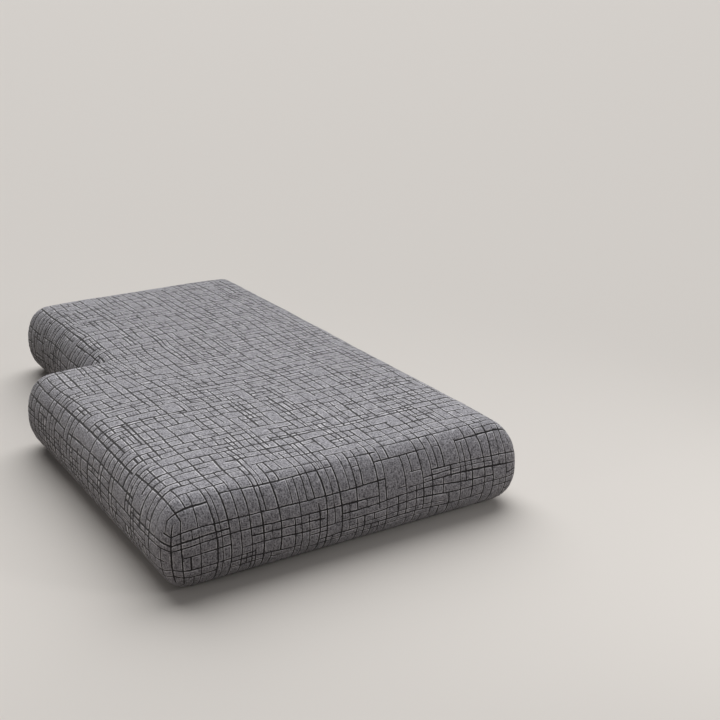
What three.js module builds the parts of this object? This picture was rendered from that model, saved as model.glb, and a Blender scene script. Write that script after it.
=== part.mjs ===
// Seat cushion cover of a chaise, filled by its cushion and lying flat.
// Millimetres, +Z up. The front edge faces -Y, the end under the back cushion faces +Y.
// The origin is the centre of the box round the cushion, on the surface that it lies on.
import * as THREE from 'three';

// Plan of the cushion, seen from above
const WIDTH = 900;
const LENGTH = 1580;
const RECESS_WIDTH = 185;     // open corner at the rear left, which goes round the sofa's arm
const RECESS_START = 980;     // from the front edge to the face that meets the arm
const CORNER_RADIUS = 50;
const RECESS_RADIUS = 20;     // inside corner of the recess
const LEAST_RADIUS = 8;       // corners never get sharper than this as the plan shrinks
const DRAW_IN = 3;            // how far the sides pull in half way between two corners

// Section through an edge
const EDGE_HEIGHT = 205;      // where the rolled edge meets the top
const WIDEST_HEIGHT = 92;     // height of the fullest line of the sides
const TOP_ROLL = 58;          // inward reach of the roll at the top edge
const BOTTOM_ROLL = 60;       // inward reach of the roll at the bottom edge
const TOP_FULLNESS = 2.15;    // superellipse exponents: 2 is round, more is squarer
const BOTTOM_FULLNESS = 2.1;

// Swell of the top
const CROWN = 12;
const CROWN_REACH = 330;      // inset at which the top levels out

// Fineness
const CORNER_STEPS = 6;
const SIDE_STEP = 65;
const ROLL_STEPS = 7;
const CROWN_INSETS = [84, 116, 155, 205, 265, 325];

const HALF_TURN = Math.PI;
const QUARTER_TURN = Math.PI / 2;

// The six corners in order round the plan, counter-clockwise from the front left.
// x and y move inward with the inset by the signs inX and inY. start is the angle at which the
// arc begins. The inside corner of the recess turns the other way, so its arc has turn -1.
const CORNERS = [
  { x: 0, y: 0, inX: 1, inY: 1, start: HALF_TURN, turn: 1 },
  { x: WIDTH, y: 0, inX: -1, inY: 1, start: -QUARTER_TURN, turn: 1 },
  { x: WIDTH, y: LENGTH, inX: -1, inY: -1, start: 0, turn: 1 },
  { x: RECESS_WIDTH, y: LENGTH, inX: 1, inY: -1, start: QUARTER_TURN, turn: 1 },
  { x: RECESS_WIDTH, y: RECESS_START, inX: 1, inY: -1, start: 0, turn: -1 },
  { x: 0, y: RECESS_START, inX: 1, inY: -1, start: QUARTER_TURN, turn: 1 },
];

// Points of one corner's arc on the plan shrunk by inset.
function cornerArc(corner, inset) {
  const outward = corner.turn > 0;
  const radius = outward
    ? Math.max(CORNER_RADIUS - inset, LEAST_RADIUS)
    : RECESS_RADIUS + inset;
  const side = outward ? 1 : -1;
  const centreX = corner.x + corner.inX * (inset + side * radius);
  const centreY = corner.y + corner.inY * (inset + side * radius);
  const points = [];
  for (let i = 0; i <= CORNER_STEPS; i += 1) {
    const angle = corner.start + (corner.turn * QUARTER_TURN * i) / CORNER_STEPS;
    points.push(new THREE.Vector2(
      centreX + radius * Math.cos(angle),
      centreY + radius * Math.sin(angle),
    ));
  }
  return points;
}

// How many steps the side between two corners takes, the same on every ring.
function sideSteps(from, to) {
  const span = Math.hypot(to.x - from.x, to.y - from.y);
  return Math.max(3, Math.round(span / SIDE_STEP));
}

// The straight run between two arcs, without its ends. It pulls in by a half sine wave, in
// proportion to how long the side is beside the longest one.
function sideRun(start, end, steps) {
  const along = new THREE.Vector2().subVectors(end, start);
  const inward = new THREE.Vector2(-along.y, along.x).normalize();
  const depth = DRAW_IN * (along.length() / LENGTH);
  const points = [];
  for (let i = 1; i < steps; i += 1) {
    const share = i / steps;
    const point = start.clone().addScaledVector(along, share);
    points.push(point.addScaledVector(inward, depth * Math.sin(Math.PI * share)));
  }
  return points;
}

// The closed plan line at an inset, counter-clockwise, with as many points at every inset.
function planRing(inset) {
  const arcs = CORNERS.map((corner) => cornerArc(corner, inset));
  return CORNERS.flatMap((corner, i) => {
    const next = (i + 1) % CORNERS.length;
    const arc = arcs[i];
    const steps = sideSteps(corner, CORNERS[next]);
    return [...arc, ...sideRun(arc[arc.length - 1], arcs[next][0], steps)];
  });
}

// Quarter superellipse from its side (share 0) to its top (share 1): how far it has risen and
// how far it has run inward, both from 0 to 1.
function rolledEdge(share, fullness) {
  const angle = share * QUARTER_TURN;
  const power = 2 / fullness;
  return {
    rise: Math.sin(angle) ** power,
    run: 1 - Math.max(Math.cos(angle), 0) ** power,
  };
}

// Insets and heights of the rings from the flat underside to the end of the top roll.
function edgeSection() {
  const section = [];
  for (let i = ROLL_STEPS; i >= 0; i -= 1) {
    const { rise, run } = rolledEdge(i / ROLL_STEPS, BOTTOM_FULLNESS);
    section.push({ inset: BOTTOM_ROLL * run, height: WIDEST_HEIGHT * (1 - rise) });
  }
  for (let i = 1; i <= ROLL_STEPS; i += 1) {
    const { rise, run } = rolledEdge(i / ROLL_STEPS, TOP_FULLNESS);
    const height = WIDEST_HEIGHT + (EDGE_HEIGHT - WIDEST_HEIGHT) * rise;
    section.push({ inset: TOP_ROLL * run, height });
  }
  return section;
}

// 0 at an edge, rising smoothly to 1 once a point is CROWN_REACH away from it.
function swell(distance) {
  const left = 1 - Math.min(Math.max(distance, 0) / CROWN_REACH, 1);
  return 1 - left ** 3;
}

// Height of the top at a point: the product of the swells away from every edge.
function topHeight(x, y) {
  const pastRecess = Math.hypot(Math.max(x - RECESS_WIDTH, 0), Math.max(RECESS_START - y, 0));
  const share = swell(x - TOP_ROLL) * swell(WIDTH - TOP_ROLL - x)
    * swell(y - TOP_ROLL) * swell(LENGTH - TOP_ROLL - y)
    * swell(pastRecess - TOP_ROLL);
  return EDGE_HEIGHT + CROWN * share;
}

// One closed skin: rings joined by quads, with a flat cap below and a cap on the crown.
function cushionGeometry() {
  const rings = edgeSection().map(({ inset, height }) => (
    planRing(inset).map((p) => new THREE.Vector3(p.x, p.y, height))
  ));
  for (const inset of CROWN_INSETS) {
    rings.push(planRing(inset).map((p) => new THREE.Vector3(p.x, p.y, topHeight(p.x, p.y))));
  }
  const count = rings[0].length;
  const faces = [];
  for (let r = 0; r + 1 < rings.length; r += 1) {
    for (let i = 0; i < count; i += 1) {
      const j = (i + 1) % count;
      const low = r * count;
      const high = low + count;
      faces.push(low + i, low + j, high + j, low + i, high + j, high + i);
    }
  }
  const highest = (rings.length - 1) * count;
  for (const [a, b, c] of THREE.ShapeUtils.triangulateShape(rings[0], [])) {
    faces.push(a, c, b);
  }
  for (const [a, b, c] of THREE.ShapeUtils.triangulateShape(rings[rings.length - 1], [])) {
    faces.push(highest + a, highest + b, highest + c);
  }
  const geometry = new THREE.BufferGeometry().setFromPoints(rings.flat());
  geometry.setIndex(faces);
  geometry.translate(-WIDTH / 2, -LENGTH / 2, 0);
  geometry.computeVertexNormals();
  return geometry;
}

const coverCloth = new THREE.MeshStandardMaterial({
  color: 0x8b898c,
  roughness: 0.95,
  metalness: 0,
});

const cover = new THREE.Mesh(cushionGeometry(), coverCloth);
cover.name = 'cushion_cover';

const seatCushionCover = new THREE.Group();
seatCushionCover.name = 'seat_cushion_cover';
seatCushionCover.add(cover);

export default seatCushionCover;
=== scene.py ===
# %% [markdown]
# # A fitted seat cushion cover
#
# The object is the stretch jacquard cover of a long chaise cushion, filled by the cushion. Its top
# swells a little, its edges roll over, and one rear corner is left open for the sofa's arm. The
# cloth carries a loose crosshatch of narrow charcoal lines. They are knitted tighter than the
# rest, so they lie in shallow furrows between softly puffed patches.
#
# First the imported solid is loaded. It fixes the size and place of everything here.

import math

import bpy
import numpy as np
from mathutils import Matrix, Vector

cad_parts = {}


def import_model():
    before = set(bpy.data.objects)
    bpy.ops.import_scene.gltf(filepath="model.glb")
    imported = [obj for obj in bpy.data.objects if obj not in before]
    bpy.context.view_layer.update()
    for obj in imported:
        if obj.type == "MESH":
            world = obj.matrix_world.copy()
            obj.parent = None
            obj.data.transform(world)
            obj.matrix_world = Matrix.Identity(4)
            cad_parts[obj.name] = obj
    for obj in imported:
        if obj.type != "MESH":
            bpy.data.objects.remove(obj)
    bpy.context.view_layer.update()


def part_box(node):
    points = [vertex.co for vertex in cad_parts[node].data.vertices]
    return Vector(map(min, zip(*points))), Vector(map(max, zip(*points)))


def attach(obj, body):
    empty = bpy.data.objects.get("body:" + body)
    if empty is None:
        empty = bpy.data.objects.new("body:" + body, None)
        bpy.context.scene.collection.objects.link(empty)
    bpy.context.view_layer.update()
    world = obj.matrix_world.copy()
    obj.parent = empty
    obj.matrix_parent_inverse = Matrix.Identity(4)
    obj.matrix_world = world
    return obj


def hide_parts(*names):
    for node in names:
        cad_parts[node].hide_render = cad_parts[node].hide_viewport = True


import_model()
NODE = "cushion_cover"
box_low, box_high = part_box(NODE)
print("solid from", [round(v, 4) for v in box_low], "to", [round(v, 4) for v in box_high])

# %% [markdown]
# ## Sizes
#
# The cushion is a shallow slab. Every edge is the same roll: a quarter of a superellipse from the
# flat top down to the fullest line of the side, and another one from there to the flat underside.
# A superellipse with an exponent of 2 would be round; a little more makes it squarer, as foam
# under a tight cover is, and in plan the upright corners are squarer still. All lengths are in
# metres.

# %% Sizes of the cushion
WIDTH = box_high.x - box_low.x
LENGTH = box_high.y - box_low.y
RECESS_WIDTH = 0.185      # open corner for the sofa's arm, at the rear left
RECESS_START = 0.980      # from the front edge to the face that meets the arm
ROLL = 0.072              # how far the rolled edges reach inwards, in plan as well as in section
WIDEST = 0.092            # height of the fullest line of the sides
EDGE_TOP = 0.200          # height of the top where it meets the roll, without the crown
CROWN = 0.0145
CROWN_REACH = 0.330       # distance from the edge at which the top levels out
FULLNESS = 2.2            # exponent of the superellipse in section
CORNER_FULLNESS = 2.8     # and in plan
DRAW_IN = 0.003           # how far the long sides pull in between their corners

print("cushion", round(WIDTH, 3), "by", round(LENGTH, 3), "m")

# %% [markdown]
# ## Cloth length round a rolled edge
#
# The lines of the cloth keep their distance from each other as they run over the edge, so the
# mesh is laid out by length of cloth. A direction turns evenly from "up" to "out" and is scaled
# to the superellipse. The steps between the points are added up, and the table is read
# backwards, from a length to a direction. The top sheet ends and the side band begins at 45
# degrees.

# %% From cloth length to direction
TABLE_STEPS = 400
EIGHTH_TURN = math.pi / 4


def on_shell(t):
    """Scale each direction t so that (|tx|^m + |ty|^m)^(n/m) + |tz|^n = 1.

    Here n is the fullness of the section and m that of the corners in plan.
    """
    in_plan = (np.abs(t[..., :2]) ** CORNER_FULLNESS).sum(axis=-1, keepdims=True)
    size = in_plan ** (FULLNESS / CORNER_FULLNESS) + np.abs(t[..., 2:]) ** FULLNESS
    return t / size ** (1 / FULLNESS)


def arc_lengths(fixed_axis, half_height):
    """Cloth length round an eighth of the roll, and the tangent that names each place on it.

    The point is (ROLL * sx, half_height * sz) with s a direction scaled to the shell. One part
    of the direction, x (0) or z (2), is held at 1, and the tangent is the other.
    """
    tangent = np.tan(np.linspace(0, 1, TABLE_STEPS) * EIGHTH_TURN)
    t = np.zeros((TABLE_STEPS, 3))
    t[:, fixed_axis] = 1
    t[:, 2 - fixed_axis] = tangent
    s = on_shell(t)
    steps = np.hypot(np.diff(s[:, 0] * ROLL), np.diff(s[:, 2] * half_height))
    return np.concatenate([[0], np.cumsum(steps)]), tangent


UPPER = EDGE_TOP - WIDEST
roll_length, roll_tangent = arc_lengths(2, UPPER)
upper_length, upper_tangent = arc_lengths(0, UPPER)
lower_length, lower_tangent = arc_lengths(0, WIDEST)
ROLL_CLOTH = roll_length[-1]
UPPER_CLOTH = upper_length[-1]
SIDE_CLOTH = UPPER_CLOTH + lower_length[-1]
EDGE_OUT = 2 ** (-1 / FULLNESS)
print("cloth: roll", round(ROLL_CLOTH, 4), "m, side band", round(SIDE_CLOTH, 4), "m")

# %% [markdown]
# ## Rows of the cloth
#
# The mesh has rows of vertices along the cushion, across it, and level round its sides, about
# 6 mm apart but never quite evenly. Every line of the pattern runs on one of these rows, so its
# furrow is real relief, and the distance to it is exact everywhere.

# %% Cloth coordinates of the edges and of the rows
SEED = 11
rng = np.random.default_rng(SEED)
ROW_STEP = 0.0061
ROW_JITTER = 0.20         # a step is up to this share longer or shorter
SPREAD = 0.30             # within this distance of the recess the rows close up for its roll

# Along x: left edge, end of its roll, recess edge, end of its roll, right roll, right edge.
recess_edge_x = RECESS_WIDTH + ROLL - ROLL * EDGE_OUT
U_RECESS = ROLL_CLOTH + recess_edge_x - ROLL
U_RECESS_FLAT = U_RECESS + ROLL_CLOTH
U_RIGHT = U_RECESS_FLAT + WIDTH - RECESS_WIDTH - 2 * ROLL
U_END = U_RIGHT + ROLL_CLOTH
# Along y: front edge, end of its roll, roll of the face that meets the arm, rear roll, rear.
V_ARM_FLAT = ROLL_CLOTH + RECESS_START - 2 * ROLL
V_ARM = V_ARM_FLAT + ROLL_CLOTH
arm_edge_y = RECESS_START - ROLL + ROLL * EDGE_OUT
V_REAR = V_ARM + LENGTH - ROLL - arm_edge_y
V_END = V_REAR + ROLL_CLOTH


def uneven_rows(edges):
    """Rows on all the edges and, between each two of them, after uneven steps."""
    rows = [np.array(edges[:1], float)]
    for low, high in zip(edges[:-1], edges[1:]):
        steps = rng.uniform(1 - ROW_JITTER, 1 + ROW_JITTER, round((high - low) / ROW_STEP))
        places = low + (high - low) * np.cumsum(steps) / steps.sum()
        places[-1] = high
        rows.append(places)
    return np.concatenate(rows)


U = uneven_rows([0, U_RECESS, U_END])
V = uneven_rows([0, V_ARM, V_END])
W = uneven_rows([0, SIDE_CLOTH])
I_RECESS = int(np.abs(U - U_RECESS).argmin())
J_ARM = int(np.abs(V - V_ARM).argmin())
LAST_I, LAST_J, LAST_K = len(U) - 1, len(V) - 1, len(W) - 1
print("rows along, across and level:", len(U), len(V), len(W))

# %% [markdown]
# ## The rows as places and directions
#
# Each row along x or y stands at a place in plan. Inside a roll it also has a tangent, from 0
# where the top is flat to 1 at the 45 degree edge, and it stands over the line where that roll
# begins. The roll of the recess counts only beside it, so it is kept apart; in front of it and to
# its right the rows stand evenly again.


# %% Plan places and roll tangents of the rows
def roll_tangent_at(length):
    """Tangent at a length of cloth from the flat part; 0 on the flat part itself."""
    return np.interp(length, roll_length, roll_tangent)


def roll_reach(tangent):
    """How far out a roll has come in plan at a tangent: ROLL * t / (t^n + 1)^(1/n)."""
    return ROLL * tangent / (tangent ** FULLNESS + 1) ** (1 / FULLNESS)


left_t = roll_tangent_at(ROLL_CLOTH - U)
right_t = roll_tangent_at(U - U_RIGHT)
recess_t = np.where(U >= U_RECESS, roll_tangent_at(U_RECESS_FLAT - U), 0)
front_t = roll_tangent_at(ROLL_CLOTH - V)
rear_t = roll_tangent_at(V - V_REAR)
arm_t = np.where(V <= V_ARM, roll_tangent_at(V - V_ARM_FLAT), 0)

x_start = np.interp(U, [ROLL_CLOTH, U_RECESS, U_RECESS_FLAT, U_RIGHT],
                    [ROLL, recess_edge_x, RECESS_WIDTH + ROLL, WIDTH - ROLL])
in_recess_roll = (U > U_RECESS) & (U < U_RECESS_FLAT)
x_start = np.where(in_recess_roll, RECESS_WIDTH + ROLL - roll_reach(recess_t), x_start)
y_start = np.interp(V, [ROLL_CLOTH, V_ARM_FLAT, V_ARM, V_REAR],
                    [ROLL, RECESS_START - ROLL, arm_edge_y, LENGTH - ROLL])
in_arm_roll = (V > V_ARM_FLAT) & (V < V_ARM)
y_start = np.where(in_arm_roll, RECESS_START - ROLL + roll_reach(arm_t), y_start)
x_even = np.interp(U, [ROLL_CLOTH, U_RIGHT], [ROLL, WIDTH - ROLL])
y_even = np.interp(V, [ROLL_CLOTH, V_REAR], [ROLL, LENGTH - ROLL])
side_t = np.where(W < UPPER_CLOTH,
                  np.interp(UPPER_CLOTH - W, upper_length, upper_tangent),
                  -np.interp(W - UPPER_CLOTH, lower_length, lower_tangent))
print("rows in the left and right roll:", np.count_nonzero(left_t), np.count_nonzero(right_t))

# %% [markdown]
# ## The shell
#
# The cushion's surface is a box that has been blown out round. A point of it is a place on the
# plane inside (its start) plus a direction, which is scaled to the superellipse and stretched by
# the roll's reach sideways and by the half height up or down. A simulated cover over foam would
# come out the same, but here the rows run on from the top over the band to the underside, as the
# threads of the cloth do. Only at the inside corner of the recess do two rolls meet in a valley.


# %% Crown and shell
def swell(distance):
    """0 at an edge, rising as 1 - (1 - d)^3 to 1 where the top is level."""
    left = 1 - np.clip(distance / CROWN_REACH, 0, 1)
    return 1 - left ** 3


def crown_at(x, y):
    """Rise of the top: the product of the swells away from all the edges."""
    from_recess = np.hypot(np.maximum(x - RECESS_WIDTH, 0), np.maximum(RECESS_START - y, 0))
    share = swell(x) * swell(WIDTH - x) * swell(y) * swell(LENGTH - y) * swell(from_recess)
    return CROWN * share


def shell(start_x, start_y, tx, ty, tz):
    """start + (ROLL * sx, ROLL * sy, height * sz) on the plane z = WIDEST."""
    parts = np.broadcast_arrays(start_x, start_y, tx, ty, tz)
    s = on_shell(np.stack(parts[2:], axis=-1))
    x = parts[0] + ROLL * s[..., 0]
    y = parts[1] + ROLL * s[..., 1]
    up = np.where(s[..., 2] > 0, UPPER + crown_at(x, y), WIDEST)
    return np.stack([x, y, WIDEST + up * s[..., 2]], axis=-1)


def smooth_share(value, low, high):
    """0 below low, 1 above high, and t * t * (3 - 2t) between them."""
    share = np.clip((value - low) / (high - low), 0, 1)
    return share ** 2 * (3 - 2 * share)


def sheet_points(tz):
    """The top (tz = 1) or underside (tz = -1): every row along x with every row along y."""
    u, v = U[:, None], V[None, :]
    to_recess = smooth_share(v, V_ARM_FLAT - SPREAD, V_ARM_FLAT)
    plan_x = x_even[:, None] + (x_start - x_even)[:, None] * to_recess
    to_arm = smooth_share(-u, -U_RECESS_FLAT - SPREAD, -U_RECESS_FLAT)
    plan_y = y_even[None, :] + (y_start - y_even)[None, :] * to_arm
    before_arm = v <= V_ARM
    beside = (u >= U_RECESS) & ~before_arm
    tx = np.where(beside, -recess_t[:, None], -left_t[:, None]) + right_t[:, None]
    ty = np.where(u <= U_RECESS, arm_t[None, :], 0) - front_t[None, :] + rear_t[None, :]
    base_x = np.where(beside & (u < U_RECESS_FLAT), RECESS_WIDTH + ROLL, plan_x)
    on_arm_roll = (u <= U_RECESS) & before_arm & (v > V_ARM_FLAT)
    base_y = np.where(on_arm_roll, RECESS_START - ROLL, plan_y)
    points = shell(base_x, base_y, tx, ty, tz)
    valley = (u >= U_RECESS) & (u < U_RECESS_FLAT) & before_arm & (v > V_ARM_FLAT)
    flattest = np.minimum(recess_t[:, None], arm_t[None, :])
    in_valley = shell(x_start[:, None], y_start[None, :], 0, 0, tz)
    rise = (flattest ** FULLNESS + 1) ** (-1 / FULLNESS)
    in_valley[..., 2] = WIDEST + (in_valley[..., 2] - WIDEST) * rise
    return np.where(valley[..., None], in_valley, points)


top_points = sheet_points(1)
under_points = sheet_points(-1)
print("top sheet is", round(float(top_points[..., 2].max()), 4), "m high at its crown")

# %% [markdown]
# ## The side band
#
# The band goes once round the plan: front, right, rear, the two faces of the recess, and left.
# Its upper and lower rows are the rims of the two sheets.

# %% Rows round the plan
across = np.arange(LAST_I + 1)
along = np.arange(LAST_J + 1)
walls = {
    "front": (across[:-1], 0),
    "right": (LAST_I, along[:-1]),
    "rear": (across[:I_RECESS:-1], LAST_J),
    "recess": (I_RECESS, along[:J_ARM:-1]),
    "arm": (across[I_RECESS:0:-1], J_ARM),
    "left": (0, along[J_ARM:0:-1]),
}
wall_rows = [np.broadcast_arrays(*rows) for rows in walls.values()]
round_i = np.concatenate([rows[0] for rows in wall_rows])
round_j = np.concatenate([rows[1] for rows in wall_rows])
wall_of = np.repeat(list(walls), [len(rows[0]) for rows in wall_rows])
ENDS = ("front", "rear", "arm")             # the rows along the cushion come down these
NEAR_WALLS = ("front", "left", "recess")    # and here the paths of the rows begin
ROUND = len(round_i)


def band_points():
    """The shell with the outward direction held at 1, for every row round and every level."""
    i, j = round_i[:, None], round_j[:, None]
    wall = wall_of[:, None]
    tx = right_t[i] - left_t[i]
    tx = np.where((wall == "rear") & (U[i] < U_RECESS_FLAT), -recess_t[i], tx)
    tx = np.where(wall == "recess", -1, tx)
    ty = rear_t[j] - front_t[j]
    ty = np.where((wall == "left") & (V[j] > V_ARM_FLAT), arm_t[j], ty)
    ty = np.where(wall == "arm", 1, ty)
    plan_x = np.where(wall == "front", x_even[i], x_start[i])
    plan_y = np.where(wall == "right", y_even[j], y_start[j])
    base_x = np.where((tx < 0) & (U[i] >= U_RECESS), RECESS_WIDTH + ROLL, plan_x)
    base_y = np.where((ty > 0) & (V[j] <= V_ARM), RECESS_START - ROLL, plan_y)
    # Beside the inside corner the rows close up, so that both walls end in it.
    reach = ROLL / (np.abs(side_t[None, :]) ** FULLNESS + 1) ** (1 / FULLNESS)
    corner_x = RECESS_WIDTH + ROLL - reach
    corner_y = RECESS_START - ROLL + reach
    squeeze_x = (corner_x - ROLL) / (recess_edge_x - ROLL)
    squeeze_y = (LENGTH - ROLL - corner_y) / (LENGTH - ROLL - arm_edge_y)
    base_x = np.where(wall == "arm", ROLL + (base_x - ROLL) * squeeze_x, base_x)
    base_y = np.where(wall == "recess", LENGTH - ROLL - (LENGTH - ROLL - base_y) * squeeze_y,
                      base_y)
    points = shell(base_x, base_y, tx, ty, side_t[None, :])
    at_corner = (i == I_RECESS) & (j == J_ARM)
    points[..., 0] = np.where(at_corner, corner_x, points[..., 0])
    points[..., 1] = np.where(at_corner, corner_y, points[..., 1])
    return points


side_points = band_points()
print("side band:", ROUND, "rows round,", LAST_K + 1, "levels")

# %% [markdown]
# ## Paths for the lines
#
# The crosshatch has three families of lines: along the cushion, across it, and level round its
# sides. A line keeps to one row of the mesh, so each row needs a path: the length of cloth from
# the rim of the top. It is negative on the front or left wall and on the underside, and runs past
# the far rim down the other wall. A register notes what is drawn where.

# %% The paths of the rows
RASTER = 0.004            # grain of the register of what is drawn
FAR_ROWS = 10             # the register counts rows of open cloth up to this many
RUN_PAST = 2              # a line ends at one that goes on by this many grains to both sides
SLACK = 1e-6
EDGE_ROWS = 2             # no line is as near as this to a seam or to the rim of the recess

# The path of a level row starts at the front left corner and goes both ways round. This is the
# place on it of a row that comes down each wall.
round_place = {
    "front": lambda u: u,
    "right": lambda v: U_END + v,
    "rear": lambda u: 2 * U_END + V_END - u,
    "left": lambda v: -v,
    "arm": lambda u: -V_ARM - u,
    "recess": lambda v: -V_ARM - U_RECESS - (v - V_ARM),
}
round_u, round_v = U[round_i], V[round_j]
round_path = np.select(
    [wall_of == wall for wall in round_place],
    [place(round_u if wall in ENDS else round_v)
     for wall, place in round_place.items()])


def under_place(near, row):
    """The place of a row of the underside on the path that leaves the top at its near edge."""
    return 2 * near - SIDE_CLOTH - row


far_end = np.where(U < U_RECESS, V_ARM, V_END)      # where a row along the cushion leaves the top
left_end = np.where(V < V_ARM, 0.0, U_RECESS)       # where a row across it leaves it on the left
path_starts = {"x": under_place(0.0, far_end), "y": under_place(left_end, U_END),
               "z": np.full(len(W), round_path.min())}
path_ends = {"x": far_end + SIDE_CLOTH, "y": np.full(len(V), U_END + SIDE_CLOTH),
             "z": np.full(len(W), round_path.max())}
starts = {name: float(places.min()) for name, places in path_starts.items()}
runs_of = {name: [[] for _ in places] for name, places in path_starts.items()}
print("path round the band:", round(float(np.ptp(round_path)), 2), "m")

# %% The register of the lines
# Where no line runs: the seams and the rims of the recess.
ALL = (-np.inf, np.inf)
kept_bare = {
    "x": [(0, *ALL), (LAST_I, *ALL), (I_RECESS, V_ARM, np.inf),
          (I_RECESS, -np.inf, under_place(0.0, V_ARM))],
    "y": [(0, *ALL), (LAST_J, *ALL), (J_ARM, under_place(0.0, U_RECESS), U_RECESS)],
    "z": [(0, *ALL), (LAST_K, *ALL)],
}


def open_register(name):
    """For each row and grain of its path, how many rows away the nearest line is.

    It is 1 where no line can be: beside the seams and past the ends of the paths.
    """
    low, high = path_starts[name][:, None], path_ends[name][:, None]
    grains = starts[name] + RASTER * np.arange(int((high.max() - low.min()) / RASTER) + 2)
    register = np.where((grains < low - RASTER) | (grains > high), 1, FAR_ROWS)
    for row, first, last in kept_bare[name]:
        beside = register[max(row - EDGE_ROWS, 0):row + EDGE_ROWS + 1]
        beside[:, (grains >= first) & (grains <= last)] = 1
    return register


clear = {name: open_register(name) for name in path_starts}
print("grains in the register:", {name: rows.size for name, rows in clear.items()})


# %% Where a row is crossed
def crossed_by(name, places):
    """The rows of a family that run past a place (or one place for each row) on both sides."""
    register = clear[name]
    grain = np.broadcast_to(((places - starts[name]) / RASTER).astype(int), len(register))
    row = np.arange(len(register))
    past = [register[row, np.clip(grain + way * RUN_PAST, 0, register.shape[1] - 1)] == 0
            for way in (-1, 1)]
    return past[0] & past[1]


def stops_along(i):
    """Where the path of row i along the cushion is crossed: top, underside, front, far wall."""
    u, far = U[i], far_end[i]
    wall = "arm" if u < U_RECESS else "rear"
    lying = (V < far + SLACK) & (left_end < u + SLACK)
    return np.concatenate([
        V[lying & crossed_by("y", u)],
        under_place(0.0, V)[lying & crossed_by("y", under_place(left_end, u))],
        -W[crossed_by("z", round_place["front"](u))],
        far + W[crossed_by("z", round_place[wall](u))]])


def stops_across(j):
    """Where the path of row j across the cushion is crossed: top, underside, left, right."""
    v, near = V[j], left_end[j]
    wall = "left" if v < V_ARM else "recess"
    lying = (U > near - SLACK) & (far_end > v - SLACK)
    return np.concatenate([
        U[lying & crossed_by("x", v)],
        under_place(near, U)[lying & crossed_by("x", under_place(0.0, v))],
        near - W[crossed_by("z", round_place[wall](v))],
        U_END + W[crossed_by("z", round_place["right"](v))]])


def stops_round(k):
    """Where level row k is crossed on each wall."""
    w = W[k]
    of_walls = {
        "front": U[crossed_by("x", -w)],
        "right": V[crossed_by("y", U_END + w)],
        "rear": U[(U > U_RECESS) & crossed_by("x", far_end + w)],
        "left": V[(V < V_ARM) & crossed_by("y", -w)],
        "arm": U[(U < U_RECESS) & crossed_by("x", far_end + w)],
        "recess": V[(V > V_ARM) & crossed_by("y", left_end - w)],
    }
    return np.concatenate([round_place[wall](rows) for wall, rows in of_walls.items()])


stops_of = {"x": stops_along, "y": stops_across, "z": stops_round}

# %% [markdown]
# ## Growing the crosshatch
#
# A regular grid would look like checked cloth. Here a line runs for a hand or so and ends on one
# that crosses it, and the next begins a little to the side. So the pattern grows: a few long
# lines come first, and every later stretch starts at an open spot, runs both ways over a random
# number of crossing lines, and ends on one. Bold lines come before faint ones.

# %% Grow the lines
# Metres of line to a square metre of cloth, along, across and level, for each kind of line,
# and how much narrower than the boldest one it can be.
FIRST = {"x": 8.0, "y": 8.0, "z": 8.0}, (0.0, 0.0002)
BOLD = {"x": 25.0, "y": 22.0, "z": 34.0}, (0.0, 0.0003)
FAINT = {"x": 8.5, "y": 7.0, "z": 9.0}, (0.0004, 0.0008)
FIRST_LENGTH = (0.40, 1.20)
CANDIDATES = 8            # open spots of which the one farthest from other lines is taken
LEAST_ROWS = (2, 3)       # how many rows a stretch keeps from those beside it
CLOSE_SHARE = 0.12        # share of the stretches that keep only the lesser number
END_CHANCE = (0.12, 0.45)     # that a stretch ends on the next line that crosses it
FREE_END = 0.10           # share of the ends that stop short of a crossing line
SHORT_BY = (0.2, 0.7)     # of the last patch
MOST_TRIES = 12000


def open_spot(name):
    """A row and a grain of its path: of some random ones, the one with most open cloth."""
    register = clear[name]
    rows = rng.integers(register.shape[0], size=CANDIDATES)
    grains = rng.integers(register.shape[1], size=CANDIDATES)
    best = register[rows, grains].argmax()
    return rows[best], grains[best]


def record(name, row, low, high, narrower):
    """Note a stretch in the list of its row and in the register; returns its length."""
    first, last = (int((place - starts[name]) / RASTER) for place in (low, high))
    for other in range(max(row - FAR_ROWS, 0), min(row + FAR_ROWS + 1, len(clear[name]))):
        part = clear[name][other, first:last + 1]
        np.minimum(part, abs(other - row), out=part)
    runs_of[name][row].append((low, high, rng.uniform(*narrower)))
    return high - low


def end_among(ahead, seed, end_chance):
    """One of the crossing places ahead, the nearest first, or a place a little short of it."""
    count = min(rng.geometric(end_chance), len(ahead))
    last, before = ahead[count - 1], ahead[count - 2] if count > 1 else seed
    short = rng.uniform(*SHORT_BY) if rng.random() < FREE_END else 0
    return last + (before - last) * short


def fences(name, row, seed, least_rows):
    """How far both ways from a place a row stays clear of the lines beside it."""
    fenced = starts[name] + np.flatnonzero(clear[name][row] < least_rows) * RASTER
    return (fenced[fenced <= seed].max(initial=-np.inf) + RASTER,
            fenced[fenced >= seed].min(initial=np.inf))


def grow_stretch(name, row, seed, least_rows, narrower):
    """Draw a stretch through a place, if lines that cross its row close it off on both sides."""
    low_fence, high_fence = fences(name, row, seed, least_rows)
    path_limits = path_starts[name][row], path_ends[name][row]
    stops = np.sort(np.append(stops_of[name](row), path_limits))
    behind = stops[(stops > low_fence) & (stops < seed)][::-1]
    ahead = stops[(stops < high_fence) & (stops > seed)]
    if not len(behind) or not len(ahead):
        return 0
    end_chance = rng.uniform(*END_CHANCE)
    return record(name, row, end_among(behind, seed, end_chance),
                  end_among(ahead, seed, end_chance), narrower)


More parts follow.
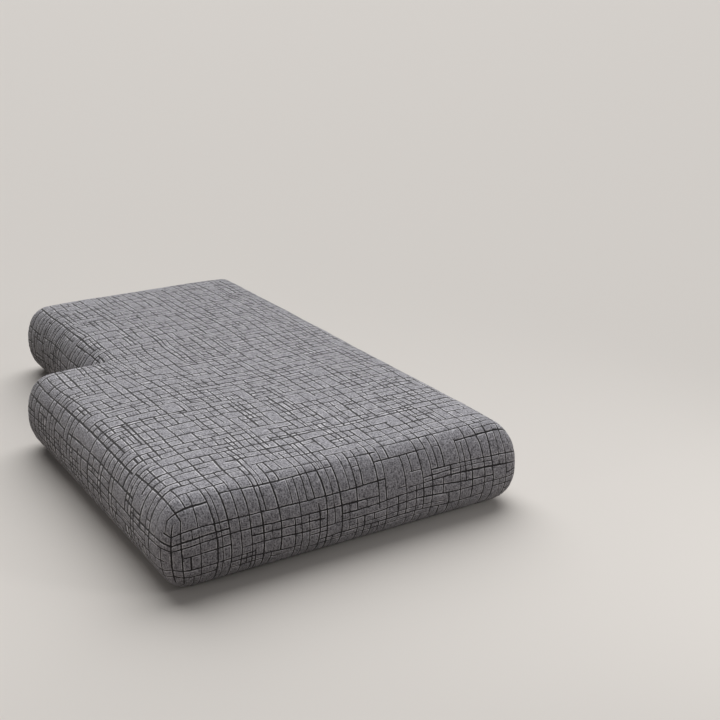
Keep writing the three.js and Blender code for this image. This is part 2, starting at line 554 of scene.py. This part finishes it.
def fill_with(grow, densities, narrower):
    """Let all the families grow in turn until each has the wanted length of line."""
    missing = {name: open_area[name] * density for name, density in densities.items()}
    for _ in range(MOST_TRIES):
        for name in missing:
            row, grain = open_spot(name)
            least_rows = LEAST_ROWS[int(rng.random() > CLOSE_SHARE)]
            if missing[name] > 0 and clear[name][row, grain] >= least_rows:
                place = starts[name] + grain * RASTER
                missing[name] -= grow(name, row, place, least_rows, narrower)
    print("length of line not laid, m:", {name: round(m, 1) for name, m in missing.items()})


def long_line(name, row, seed, least_rows, narrower):
    """One of the first lines, from a place on."""
    high = min(seed + rng.uniform(*FIRST_LENGTH), fences(name, row, seed, least_rows)[1])
    return record(name, row, seed, high, narrower)


open_area = {name: np.count_nonzero(clear[name] > 1) * RASTER * ROW_STEP for name in clear}
fill_with(long_line, *FIRST)
fill_with(grow_stretch, *BOLD)
fill_with(grow_stretch, *FAINT)

# %% [markdown]
# ## The pen on every row
#
# The stretches become one number for each crossing of two rows: how far the pen is lifted there.
# Nothing is a bold line, a little is a narrower one, and a lot is bare cloth.

# %% The pen on every row
FAR = 0.05                # lift, or distance, that stands for no line near


def pen(runs, places):
    """FAR where a row is not drawn, and how much narrower its line is where it is drawn."""
    lift = np.full(np.shape(places), FAR)
    for low, high, narrower in runs:
        lift[(places >= low - SLACK) & (places <= high + SLACK)] = narrower
    return lift


def draw_family(name, nears, fars, rows):
    """The pen's lift of each line at each row of the top, near wall, far wall and underside."""
    lifts = {"top": [], "near": [], "far": [], "under": []}
    for own, near, far in zip(runs_of[name], nears, fars):
        off_sheet = np.where((rows < near - SLACK) | (rows > far + SLACK), FAR, 0)
        lifts["top"].append(np.maximum(pen(own, rows), off_sheet))
        lifts["near"].append(pen(own, near - W))
        lifts["far"].append(pen(own, far + W))
        lifts["under"].append(np.maximum(pen(own, under_place(near, rows)), off_sheet))
    return {part: np.array(of_lines) for part, of_lines in lifts.items()}


x_lift = draw_family("x", np.zeros(len(U)), far_end, V)
y_lift = draw_family("y", left_end, np.full(len(V), U_END), U)
z_lift = np.array([pen(own, round_path) for own in runs_of["z"]])
print("mean distance of the lines, mm:",
      [round(ROW_STEP * 1000 / float((lift < FAR).mean()), 1)
       for lift in (x_lift["top"], y_lift["top"], z_lift)])

# %% [markdown]
# ## Distance to the nearest line
#
# Every vertex learns how far it is from the nearest drawn line of each family. The distance
# changes evenly between two rows, so the material can cut a sharp line out of it at any width; a
# narrower line counts as a little further away. A sewn upright corner counts as a line.


# %% Distances
def distances(rows, lift):
    """Distance from each row to the nearest one drawn at each crossing row, up to FAR."""
    apart = np.abs(rows[:, None] - rows[None, :])
    return np.minimum((apart[:, :, None] + lift[None]).min(axis=1), FAR)


top_gap, under_gap = (np.stack([distances(U, x_lift[part]), distances(V, y_lift[part]).T,
                                np.full((len(U), len(V)), FAR)], axis=-1)
                      for part in ("top", "under"))

side_gap = np.full((ROUND, LAST_K + 1, 3), FAR)
for wall in walls:
    here = wall_of == wall
    part = "near" if wall in NEAR_WALLS else "far"
    if wall in ENDS:
        side_gap[here, :, 0] = distances(U, x_lift[part])[round_i[here]]
    else:
        side_gap[here, :, 1] = distances(V, y_lift[part])[round_j[here]]
side_gap[:, :, 2] = distances(W, z_lift).T
seams = np.flatnonzero(wall_of != np.roll(wall_of, 1))      # every wall starts at a seam
side_gap[seams, :, :2] = 0.0
# Next to a seam, both families start from it.
for step in range(1, EDGE_ROWS + 1):
    for way in (1, -1):
        beside = (seams + way * step) % ROUND
        along_band = np.linalg.norm(
            side_points[beside, LAST_K // 2] - side_points[seams, LAST_K // 2], axis=1)
        family = np.where(np.isin(wall_of[beside], ENDS), 0, 1)
        near = np.minimum(side_gap[beside, :, family], along_band[:, None])
        side_gap[beside, :, family] = near
print("mean distance to a line on the sides, mm:",
      round(float(side_gap.min(axis=-1).mean()) * 1000, 1))

# %% [markdown]
# ## Lines that wander
#
# The lines look drawn by hand: each drifts a few millimetres from side to side. So every fourth
# row gets a slow wave of its own, and a row between two of these takes its share of both. All the
# rows together drift a little more, where the cover was pulled on askew. The points move along
# the surface, so the shape stays, and both drifts die out at the edges.

# %% How the rows drift
LEADER_STEP = 4           # every fourth row leads
WAVES = 3                 # in the drift of a row
WANDER, WANDER_LENGTH = 0.0020, (0.14, 0.55)    # size and wavelengths of a row's own drift
TREMOR, TREMOR_LENGTH = 0.00020, (0.03, 0.07)
WANDER_LIMIT = 0.0038
WANDER_TAPER = 0.012      # it dies out within this distance from an edge
PULL, PULL_LENGTH = 0.0070, (0.45, 1.20)        # drift that all the rows share
PULL_TAPER = 0.060


def wander(count, path):
    """For each of count lines: sums of sin(2 pi s / length + phase) along its path s.

    The mean of n such waves spreads by 1 / sqrt(2 n), so sqrt(2 n) brings it to the wanted size.
    """
    total = np.zeros((count, len(path)))
    for size, lengths in ((WANDER, WANDER_LENGTH), (TREMOR, TREMOR_LENGTH)):
        length = rng.uniform(*lengths, size=(count, 1, WAVES))
        phase = rng.uniform(0, 2 * np.pi, size=(count, 1, WAVES))
        waves_of_line = np.sin(2 * np.pi * path[None, :, None] / length + phase)
        total += size * waves_of_line.mean(axis=2) * math.sqrt(2 * WAVES)
    return np.clip(total, -WANDER_LIMIT, WANDER_LIMIT)


def from_ends(rows):
    """Distance of each row from the nearer one of the outermost two."""
    return np.minimum(rows - rows[0], rows[-1] - rows)[:, None]


def row_shifts(rows, path, from_edge):
    """Shift of every row along its path: waves on the leading rows, shared out between them."""
    leaders = np.arange(0, len(rows), LEADER_STEP)
    own = np.array([np.interp(rows, rows[leaders], column)
                    for column in wander(len(leaders), path).T]).T
    length, phase = rng.uniform(*PULL_LENGTH, size=(2, 1)), rng.uniform(0, 2 * np.pi, (2, 1))
    pull = PULL / 2 * np.sin(2 * np.pi * path / length + phase).sum(axis=0)
    return (own * np.clip(from_edge / WANDER_TAPER, 0, 1)
            + pull * np.clip(from_edge / PULL_TAPER, 0, 1))


x_path = np.concatenate([-W[::-1], V[1:], V_END + W[1:]])
y_path = np.concatenate([-W[::-1], U[1:], U_END + W[1:]])
# The rim of the recess counts as an edge from its corner on.
x_from_rim = np.abs(U - U_RECESS)[:, None] + np.maximum(V_ARM - x_path, 0)
y_from_rim = np.abs(V - V_ARM)[:, None] + np.maximum(y_path - U_RECESS, 0)
x_shift = row_shifts(U, x_path, np.minimum(from_ends(U), x_from_rim))
y_shift = row_shifts(V, y_path, np.minimum(from_ends(V), y_from_rim))
z_shift = row_shifts(W, round_path, from_ends(W)).T
print("lines wander up to", round(float(np.abs(x_shift).max()) * 1000, 1), "mm")

# %% Move the points
SHORTEST = 1e-9           # no vector is divided by less


def unit(vectors):
    """Vectors divided by their lengths."""
    return vectors / np.maximum(np.linalg.norm(vectors, axis=-1, keepdims=True), SHORTEST)


on_top = slice(LAST_K, LAST_K + LAST_J + 1), slice(LAST_K, LAST_K + LAST_I + 1)
sheet_x_shift, sheet_y_shift = x_shift[:, on_top[0]], y_shift[:, on_top[1]].T
for sheet in (top_points, under_points):
    along_x, along_y = (unit(np.gradient(sheet, axis=axis)) for axis in (0, 1))
    sheet += along_x * sheet_x_shift[..., None] + along_y * sheet_y_shift[..., None]


def between_rims(waves_down, at_rims):
    """The waves of the rows down a wall, tied at both ends to the rows' shift on the sheets."""
    share = np.linspace(0, 1, waves_down.shape[1])
    straight = waves_down[:, :1] + (waves_down[:, -1:] - waves_down[:, :1]) * share
    return waves_down - straight + at_rims[:, None]


near_wall, far_wall = slice(LAST_K, None, -1), slice(-LAST_K - 1, None)
band_shift = np.zeros((ROUND, LAST_K + 1))
for wall in walls:
    here = wall_of == wall
    i, j = round_i[here], round_j[here]
    way = 1 if wall in ("front", "right") else -1
    part = near_wall if wall in NEAR_WALLS else far_wall
    if wall in ENDS:
        band_shift[here] = way * between_rims(x_shift[i][:, part], sheet_x_shift[i, j])
    else:
        band_shift[here] = way * between_rims(y_shift[j][:, part], sheet_y_shift[i, j])
way_round = unit(np.roll(side_points, -1, axis=0) - np.roll(side_points, 1, axis=0))
way_down = unit(np.gradient(side_points, axis=1))
side_points += way_round * band_shift[..., None] + way_down * z_shift[..., None]
print("band shifted by up to", round(float(np.abs(band_shift).max()) * 1000, 1), "mm")

# %% [markdown]
# ## One closed mesh
#
# The sheets and the band are numbered so that they share the vertices of their rims, and the
# smaller of two distances counts there. The order of a face's corners makes it point outwards.

# %% Number the vertices and list the faces
in_plan = (across[:, None] >= I_RECESS) | (along[None, :] <= J_ARM)
sheet_count = int(in_plan.sum())
top_id = np.full(in_plan.shape, -1)
top_id[in_plan] = np.arange(sheet_count)
under_id = np.where(in_plan, top_id + sheet_count, -1)
side_id = np.empty((ROUND, LAST_K + 1), int)
side_id[:, 0] = top_id[round_i, round_j]
side_id[:, LAST_K] = under_id[round_i, round_j]
inner = ROUND * (LAST_K - 1)
side_id[:, 1:LAST_K] = 2 * sheet_count + np.arange(inner).reshape(ROUND, LAST_K - 1)

cell_i, cell_j = np.nonzero((across[:-1, None] >= I_RECESS) | (along[None, :-1] < J_ARM))
CELL_CORNERS = [(0, 0), (1, 0), (1, 1), (0, 1)]


def sheet_corners(grid, order):
    """What a grid holds at the corners of every cell of a sheet; an order of -1 turns it over."""
    return np.stack([grid[cell_i + di, cell_j + dj] for di, dj in CELL_CORNERS[::order]], axis=1)


def band_corners(grid):
    """The same for every cell of the band, of a grid that closes with one more row."""
    corners = grid[:-1, 1:], grid[1:, 1:], grid[1:, :-1], grid[:-1, :-1]
    return np.stack(corners, axis=2).reshape(-1, 4, *grid.shape[2:])


faces = np.concatenate([sheet_corners(top_id, 1), sheet_corners(under_id, -1),
                        band_corners(np.concatenate([side_id, side_id[:1]]))])
points = np.concatenate([top_points[in_plan], under_points[in_plan],
                         side_points[:, 1:LAST_K].reshape(-1, 3)])
gaps = np.concatenate([top_gap[in_plan], under_gap[in_plan],
                       side_gap[:, 1:LAST_K].reshape(-1, 3)])
np.minimum.at(gaps, side_id[:, 0], side_gap[:, 0])
np.minimum.at(gaps, side_id[:, LAST_K], side_gap[:, LAST_K])
print("mesh:", len(points), "vertices,", len(faces), "faces")

# %% [markdown]
# ## Wider lines behind the front
#
# Behind the front the lines are drawn wider. A smaller distance gives a wider line, so the
# distances shrink, smoothly behind the front.

# %% Wider lines behind the front
WIDENING_TOP = np.array([0.23, 0.36, 0.30])      # of the lines along, across and level
WIDENING_SIDE = np.array([0.12, 0.52, 0.18])
WIDENING_FROM, WIDENING_TO = 0.03, 0.16           # distance from the front

top_share = smooth_share(points[:, 2:], WIDEST, EDGE_TOP)
widening = WIDENING_SIDE + (WIDENING_TOP - WIDENING_SIDE) * top_share
gaps *= 1 - widening * smooth_share(points[:, 1:2], WIDENING_FROM, WIDENING_TO)
print("distances shrink by up to", round(float(widening.max()) * 100), "%")

# %% [markdown]
# ## The mesh in Blender
#
# The arrays become a smooth mesh, and its normals come back as an array. The middle of the
# underside becomes the origin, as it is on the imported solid.

# %% Make the Blender mesh
points = points - np.array([WIDTH / 2, LENGTH / 2, 0])
cover_mesh = bpy.data.meshes.new("fitted_cover")
cover_mesh.from_pydata(points.tolist(), [], faces.tolist(), shade_flat=False)
cover_mesh.validate()

normals = np.empty(points.size, np.float32)
cover_mesh.vertex_normals.foreach_get("vector", normals)
normals = normals.reshape(-1, 3).astype(float)
print("edges:", len(cover_mesh.edges))

# %% [markdown]
# ## Unevenness and furrows
#
# Foam under a tight cover is nearly even, and the knitted lines sink in a little. So each vertex
# moves along its normal by a slow unevenness, less a furrow under each line, and the long sides
# pull in between their corners. The unevenness is a few sine waves in random directions, and
# the same seed always gives the same cushion.

# %% Unevenness and furrows
LUMP, LUMP_LENGTH = 0.0006, (0.30, 0.60)        # size and wavelengths of the slow unevenness
DIMPLE, DIMPLE_LENGTH = 0.0002, (0.06, 0.12)
FURROW_DEPTH, FURROW_REACH = 0.0009, 0.0038
DRAW_FADE = 4             # power with which the draw of a side dies out towards the middle


def waves(places, lengths, count=14):
    """Sum of sine waves sin(k . p + phase), scaled to a spread of about 1."""
    direction = rng.normal(size=(count, 3))
    direction /= np.linalg.norm(direction, axis=1, keepdims=True)
    number = 2 * np.pi / rng.uniform(*lengths, size=count)
    phase = rng.uniform(0, 2 * np.pi, size=count)
    total = np.sin(places @ (direction * number[:, None]).T + phase).sum(axis=1)
    return total / math.sqrt(count / 2)


half = np.array([WIDTH, LENGTH]) / 2
towards = np.clip(np.abs(points[:, 0]) / half[0], 0, 1) ** DRAW_FADE * np.sign(points[:, 0])
draw = -DRAW_IN * towards * np.cos(np.pi * points[:, 1] / LENGTH)

lying = np.clip(points[:, 2] / WIDEST, 0, 1)
uneven = LUMP * waves(points, LUMP_LENGTH) + DIMPLE * waves(points, DIMPLE_LENGTH)
furrow = FURROW_DEPTH * np.exp(-(gaps.min(axis=1) / FURROW_REACH) ** 2)
out = uneven * lying - furrow

points = points + normals * out[:, None]
points[:, 0] += draw
points[:, 2] = np.maximum(points[:, 2], 0)
cover_mesh.vertices.foreach_set("co", points.astype(np.float32).ravel())
cover_mesh.update()
print("unevenness from", round(float(uneven.min()) * 1000, 1), "to",
      round(float(uneven.max()) * 1000, 1), "mm")

# %% [markdown]
# ## What the cloth tells its material
#
# Two things are stored with the mesh: the distances to the lines, and a map of the cloth in
# metres, so that the yarns bend over the edge with it.

# %% Store the distances and the cloth map
line_gap = cover_mesh.attributes.new("line_gap", "FLOAT_VECTOR", "POINT")
line_gap.data.foreach_set("vector", gaps.astype(np.float32).ravel())

on_sheet = np.stack(np.meshgrid(U, V, indexing="ij"), axis=-1)
top_map, under_map = sheet_corners(on_sheet, 1), sheet_corners(on_sheet, -1)
fullest = side_points[:, LAST_K // 2]
step_lengths = np.linalg.norm(np.roll(fullest, -1, axis=0) - fullest, axis=1)
round_at = np.concatenate([[0], np.cumsum(step_lengths)])
band_map = band_corners(np.stack(np.meshgrid(round_at, -W, indexing="ij"), axis=-1))
cloth_uv = np.concatenate([top_map, under_map, band_map])
cloth_layer = cover_mesh.uv_layers.new(name="Cloth")
cloth_layer.data.foreach_set("uv", cloth_uv.astype(np.float32).ravel())
print("cloth round the band:", round(float(round_at[-1]), 3), "m")

# %% [markdown]
# A second map lays the parts of the cover side by side, flat and without overlap, so that its
# finish can be kept on one square: the top, the band in three upright strips, and the underside,
# which nobody sees, at about a quarter of its size.

# %% Lay the parts out side by side
SHEET_GAP = 0.008
STRIPS = 3
UNDER_SCALE = 0.27
SQUARE = 1.645            # side of the square, in metres of cloth

strip_length = round_at[-1] / STRIPS
strip_of_face = np.repeat(np.minimum(round_at[:-1] // strip_length, STRIPS - 1), LAST_K)[:, None]
strips_start, strip_step = 2 * SHEET_GAP + U_END, SIDE_CLOTH + SHEET_GAP
strip_x = strips_start + strip_of_face * strip_step
top_layout = top_map + SHEET_GAP
band_layout = np.stack([strip_x - band_map[..., 1],
                        SHEET_GAP + band_map[..., 0] - strip_of_face * strip_length], axis=-1)
under_layout = (UNDER_SCALE * (np.array([U_END, 0]) + under_map * np.array([-1, 1]))
                + np.array([strips_start + STRIPS * strip_step, SHEET_GAP]))
layout = np.concatenate([top_layout, under_layout, band_layout]) / SQUARE
layout_layer = cover_mesh.uv_layers.new(name="OFBake")
layout_layer.data.foreach_set("uv", layout.astype(np.float32).ravel())
print("layout reaches to", layout.max(axis=(0, 1)).round(3))

# %% [markdown]
# ## The cloth
#
# A melange grey knit with charcoal lines. The yarn mixes lighter and darker fibres, so the
# ground has fine flecks, and streaks along and across the knit. Lines in an image would blur from
# near by; these are cut out of the stored distance and stay sharp. Their edge frays, and their
# width changes slowly. Beside them a painted highlight comes and goes: a paler band in the
# colour that stands in for the light caught where the ground is pulled up. The patches between
# them are puffed up like small pillows. The cloth is matt, with a soft sheen from its loose
# fibres.


# %% Helpers for shader nodes
def feed(tree, sockets, values):
    """Link each socket to another node's, or set it to a plain value."""
    for socket, value in zip(sockets, values):
        if isinstance(value, bpy.types.NodeSocket):
            tree.links.new(value, socket)
        else:
            socket.default_value = value


def add_node(tree, kind, settings=(), **inputs):
    """A new shader node. Inputs are named in lower case and take a socket or a plain value."""
    made = tree.nodes.new(kind)
    for name, value in dict(settings).items():
        setattr(made, name, value)
    sockets = {}
    for socket in made.inputs:
        if socket.enabled:
            sockets.setdefault(socket.name.lower().replace(" ", "_"), socket)
    feed(tree, [sockets[name] for name in inputs], inputs.values())
    return made


def calculate(tree, operation, first, second):
    """One step of arithmetic with sockets or numbers."""
    made = add_node(tree, "ShaderNodeMath", {"operation": operation})
    feed(tree, made.inputs, (first, second))
    return made.outputs[0]


def ramp(tree, value, low, high, start=0.0, end=1.0):
    """A smooth step from start to end while value goes from low to high."""
    made = add_node(tree, "ShaderNodeMapRange", {"interpolation_type": "SMOOTHSTEP"},
                    value=value, from_min=low, from_max=high, to_min=start, to_max=end)
    return made.outputs["Result"]


def blend(tree, share, first, second):
    """Mix two colours by a share from 0 to 1."""
    made = add_node(tree, "ShaderNodeMix", {"data_type": "RGBA"})
    sockets = [made.inputs["Factor"]] + [s for s in made.inputs if s.type == "RGBA"]
    feed(tree, sockets, (share, first, second))
    return next(s for s in made.outputs if s.type == "RGBA")


# %% The jacquard cloth
GROUND_DARK = (0.066, 0.064, 0.072, 1)
GROUND_LIGHT = (0.640, 0.626, 0.677, 1)
# Colour of the painted highlight beside the lines: light caught on the raised ground, painted in.
PAINTED_HIGHLIGHT_COLOUR = (0.93, 0.915, 0.95, 1)
LINE_COLOUR = (0.030, 0.028, 0.029, 1)
# Noises: grains to a metre of cloth, detail, and the part of the range that becomes 0 to 1.
FLECKS = 270, 3, 0.36, 0.64
YARNS = 1, 3, 0.34, 0.66  # of a map that is stretched by the numbers of grains below
STREAK_GRAINS, WEFT_GRAINS = (300, 75, 1), (70, 280, 1)
WIDTHS = 18, 1, 0.3, 0.7
# Patches where the painted highlight beside the lines shows.
PAINTED_HIGHLIGHT_PATCHES = 45, 2, 0.40, 0.60
FLECK_SHARE, STREAK_SHARE, WEFT_SHARE = 0.46, 0.32, 0.22
LINE_HALF = 0.00174       # half the width of a bold line
LINE_SOFT = 0.0006        # its edge fades over this distance to both sides
FRAY = 0.0004
WIDTH_CHANGE = 0.0005
PAINTED_HIGHLIGHT_BAND = (0.0019, 0.0024, 0.0028, 0.0038)      # distances where the painted highlight starts, is full, fades, ends
KNIT_HEIGHT = 0.00035
PUFF_HEIGHT, PUFF_REACH = 0.0011, 0.0042
CLOTH_FINISH = {"Roughness": 0.92, "Specular IOR Level": 0.25,
                "Sheen Weight": 0.30, "Sheen Roughness": 0.40}


def noise(tree, place, scale, detail, low, high):
    """Noise over a place, stretched so that low..high of it becomes 0..1."""
    made = add_node(tree, "ShaderNodeTexNoise", vector=place, scale=scale, detail=detail)
    return ramp(tree, made.outputs[0], low, high)


def swing(tree, share, size):
    """A share from 0 to 1 turned into a length around 0: (share - 0.5) * size."""
    return calculate(tree, "MULTIPLY", calculate(tree, "SUBTRACT", share, 0.5), size)


def new_material(name, finish):
    """A material, its node tree and its shader, with the values of the finish set."""
    material = bpy.data.materials.new(name)
    material.use_nodes = True
    shader = material.node_tree.nodes["Principled BSDF"]
    feed(material.node_tree, [shader.inputs[name] for name in finish], finish.values())
    return material, material.node_tree, shader


def cloth_material():
    """The ground, flecks and streaks, the lines with their painted highlights, and the knit
    relief.
    """
    material, tree, shader = new_material("jacquard_cloth", CLOTH_FINISH)

    uv = add_node(tree, "ShaderNodeUVMap", {"uv_map": "Cloth"}).outputs[0]
    gap = add_node(tree, "ShaderNodeAttribute", {"attribute_name": "line_gap"})
    parts = add_node(tree, "ShaderNodeSeparateXYZ", vector=gap.outputs["Vector"])
    nearest = calculate(tree, "MINIMUM", parts.outputs[0], parts.outputs[1])
    nearest = calculate(tree, "MINIMUM", nearest, parts.outputs[2])

    fleck = noise(tree, uv, *FLECKS)
    drawn_out = [add_node(tree, "ShaderNodeMapping", vector=uv, scale=grains).outputs[0]
                 for grains in (STREAK_GRAINS, WEFT_GRAINS)]
    streak, weft = (noise(tree, place, *YARNS) for place in drawn_out)
    fray = swing(tree, fleck, FRAY)
    width_change = swing(tree, noise(tree, uv, *WIDTHS), WIDTH_CHANGE)
    frayed = calculate(tree, "ADD", nearest, calculate(tree, "ADD", fray, width_change))

    line = ramp(tree, frayed, LINE_HALF - LINE_SOFT, LINE_HALF + LINE_SOFT, 1, 0)
    # Painted highlight: a paler band beside each line, standing in for light caught where the
    # ground rises.
    painted_highlight = calculate(tree, "MULTIPLY", ramp(tree, frayed, *PAINTED_HIGHLIGHT_BAND[:2]),
                    ramp(tree, frayed, *PAINTED_HIGHLIGHT_BAND[2:], 1, 0))
    painted_highlight = calculate(tree, "MULTIPLY", painted_highlight, noise(tree, uv, *PAINTED_HIGHLIGHT_PATCHES))

    tone = calculate(tree, "MULTIPLY", fleck, FLECK_SHARE)
    for yarns, share in ((streak, STREAK_SHARE), (weft, WEFT_SHARE)):
        tone = calculate(tree, "ADD", tone, calculate(tree, "MULTIPLY", yarns, share))
    ground = blend(tree, tone, GROUND_DARK, GROUND_LIGHT)
    # The painted highlight is mixed into the colour here.
    with_painted_highlight = blend(tree, painted_highlight, ground, PAINTED_HIGHLIGHT_COLOUR)
    colour = blend(tree, line, with_painted_highlight, LINE_COLOUR)
    tree.links.new(colour, shader.inputs["Base Color"])

    height = calculate(tree, "MULTIPLY", calculate(tree, "ADD", fleck, streak), KNIT_HEIGHT)
    puff = ramp(tree, nearest, 0.0, PUFF_REACH, 0, PUFF_HEIGHT)
    height = calculate(tree, "ADD", height, puff)
    bump = add_node(tree, "ShaderNodeBump", height=height, distance=1.0, strength=1.0)
    tree.links.new(bump.outputs[0], shader.inputs["Normal"])
    return material


# %% The cover
def put_in_scene(name, data):
    """A new object with this data, linked to the scene."""
    made = bpy.data.objects.new(name, data)
    bpy.context.scene.collection.objects.link(made)
    return made


cover_mesh.materials.append(cloth_material())
cover = put_in_scene("fitted_cushion_cover", cover_mesh)
print("cover:", tuple(round(v, 3) for v in cover.dimensions))

# %% [markdown]
# ## Floor and light
#
# The cushion lies on a wide pale floor. A broad lamp overhead, turned to the rear and the right,
# leaves the sides in soft shade. Two soft spots lift them: one stands in front on the right, the
# other on the left. The floor sends less light back up than its colour says, as it would if the
# cushion lay in the darker part of a room.

# %% Floor
FLOOR_RADIUS = 60
FLOOR_SEEN = (0.75, 0.715, 0.675, 1)
FLOOR_BOUNCE = (0.27, 0.235, 0.205, 1)
FLOOR_FINISH = {"Roughness": 0.9, "Specular IOR Level": 0.1}
FLOOR_CORNERS = 64


def seen_directly(tree):
    """1 for rays from the eye, also by way of gloss or glass, and 0 for the light's own rays."""
    path = add_node(tree, "ShaderNodeLightPath")
    seen = calculate(tree, "MAXIMUM", path.outputs["Is Camera Ray"],
                     path.outputs["Is Glossy Ray"])
    return calculate(tree, "MAXIMUM", seen, path.outputs["Is Transmission Ray"])


turn = np.linspace(0, 2 * np.pi, FLOOR_CORNERS, endpoint=False)
rim_points = np.stack([np.cos(turn), np.sin(turn), 0 * turn], axis=1) * FLOOR_RADIUS
floor_mesh = bpy.data.meshes.new("floor")
floor_mesh.from_pydata(rim_points.tolist(), [], [list(range(FLOOR_CORNERS))])
floor = put_in_scene("floor", floor_mesh)

floor_material, floor_tree, floor_shader = new_material("pale_floor", FLOOR_FINISH)
floor_colour = blend(floor_tree, seen_directly(floor_tree), FLOOR_BOUNCE, FLOOR_SEEN)
floor_tree.links.new(floor_colour, floor_shader.inputs["Base Color"])
floor_mesh.materials.append(floor_material)
print("floor:", FLOOR_RADIUS, "m to every side")

# %% Lamps and sky
SKY_LIGHT = (0.10, 0.099, 0.100, 1)
SKY_SEEN = (0.624, 0.597, 0.561, 1)
SPOT_RADIUS = 0.25


def add_lamp(name, kind, power, comes_from, stands_at=(0, 0, 0), colour=(1, 1, 1)):
    """A lamp whose light comes from a direction; returns its data."""
    data = bpy.data.lights.new(name, kind)
    data.energy = power
    data.color = colour
    lamp = put_in_scene(name, data)
    lamp.location = stands_at
    lamp.rotation_euler = Vector(comes_from).to_track_quat("Z", "Y").to_euler()
    return data


def add_spot(name, power, cone, stands_at, aims_at, colour=(1, 1, 1)):
    """A soft lamp that stands in the room and lights a cone of so many degrees."""
    comes_from = Vector(stands_at) - Vector(aims_at)
    data = add_lamp(name, "SPOT", power, comes_from, stands_at, colour)
    data.spot_size = math.radians(cone)
    data.spot_blend = 1.0
    data.shadow_soft_size = SPOT_RADIUS


overhead = add_lamp("overhead", "SUN", 2.98, (0.45, 0.74, 1.0))
overhead.angle = math.radians(68)
add_spot("front_right", 50, 54, (1.60, -2.70, 1.35), (0.52, -0.88, 0.0))
add_spot("left_side", 21, 36, (-2.60, -0.95, 0.50), (-0.45, -0.50, 0.10), (1.0, 0.96, 0.92))

world = bpy.data.worlds.new("plain_room")
world.use_nodes = True
bpy.context.scene.world = world
sky_tree = world.node_tree
sky_colour = blend(sky_tree, seen_directly(sky_tree), SKY_LIGHT, SKY_SEEN)
sky_tree.links.new(sky_colour, sky_tree.nodes["Background"].inputs["Color"])
bpy.context.scene.view_settings.view_transform = "Standard"
print("lamps:", len(bpy.data.lights))

# %% [markdown]
# ## Camera
#
# The eye stands in front and to the left, about 1.3 m up, and looks down along the cushion. A
# new camera looks straight down, so it is rolled a little, tilted up, turned and carried to its
# place.

# %% Camera
EYE = Vector((-1.234, -2.842, 1.280))
YAW, PITCH, ROLL_ANGLE = (math.radians(a) for a in (31.06, 19.31, -0.43))
LENS, SENSOR = 61.17, 36
FARTHEST_SEEN = 200

camera_data = bpy.data.cameras.new("camera")
camera_data.lens = LENS
camera_data.sensor_width = SENSOR
camera_data.clip_end = FARTHEST_SEEN
camera = put_in_scene("camera", camera_data)
camera.matrix_world = (Matrix.Translation(EYE) @ Matrix.Rotation(-YAW, 4, "Z")
                       @ Matrix.Rotation(math.pi / 2 - PITCH, 4, "X")
                       @ Matrix.Rotation(ROLL_ANGLE, 4, "Z"))
bpy.context.scene.camera = camera
print("eye:", round(EYE.length, 2), "m from the origin")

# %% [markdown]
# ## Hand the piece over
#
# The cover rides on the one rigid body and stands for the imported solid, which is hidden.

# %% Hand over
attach(cover, "root")
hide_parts(NODE)
